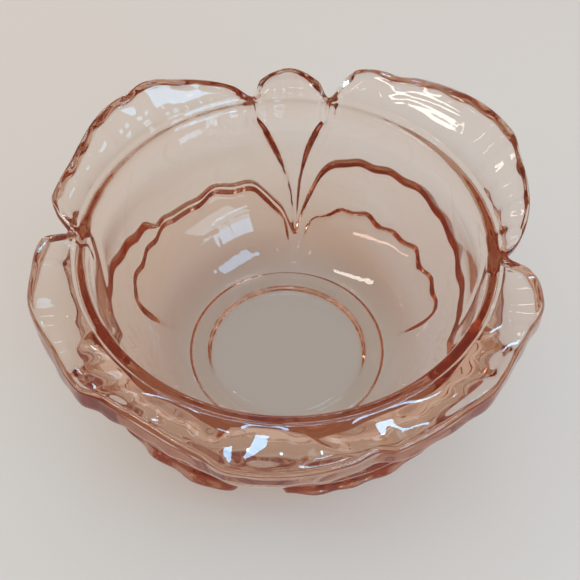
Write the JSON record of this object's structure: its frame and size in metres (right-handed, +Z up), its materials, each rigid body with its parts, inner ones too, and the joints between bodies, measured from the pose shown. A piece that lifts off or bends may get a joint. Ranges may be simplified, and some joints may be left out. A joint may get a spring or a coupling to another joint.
{
  "type": "candy dish",
  "caption": "Round pressed-glass candy dish with flared, overlapping petals, a smooth bowl, a lid ledge around the mouth and a low foot ring.",
  "frame": {"origin": "centre of the foot ring's underside, where the dish meets the table", "axes": "+Z up, along the axis of the mouth; +X to the right and +Y to the back, with the tallest wide petal at the back right, about 36 degrees from +X towards +Y"},
  "size_m": [0.1487, 0.1495, 0.0711],
  "materials": {
    "pink_glass": "clear pale pink pressed glass, fire-polished, with thick edges that read as deep orange-pink"
  },
  "bodies": {
    "root": {"glass_dish": "pink_glass"}
  },
  "joints": []
}
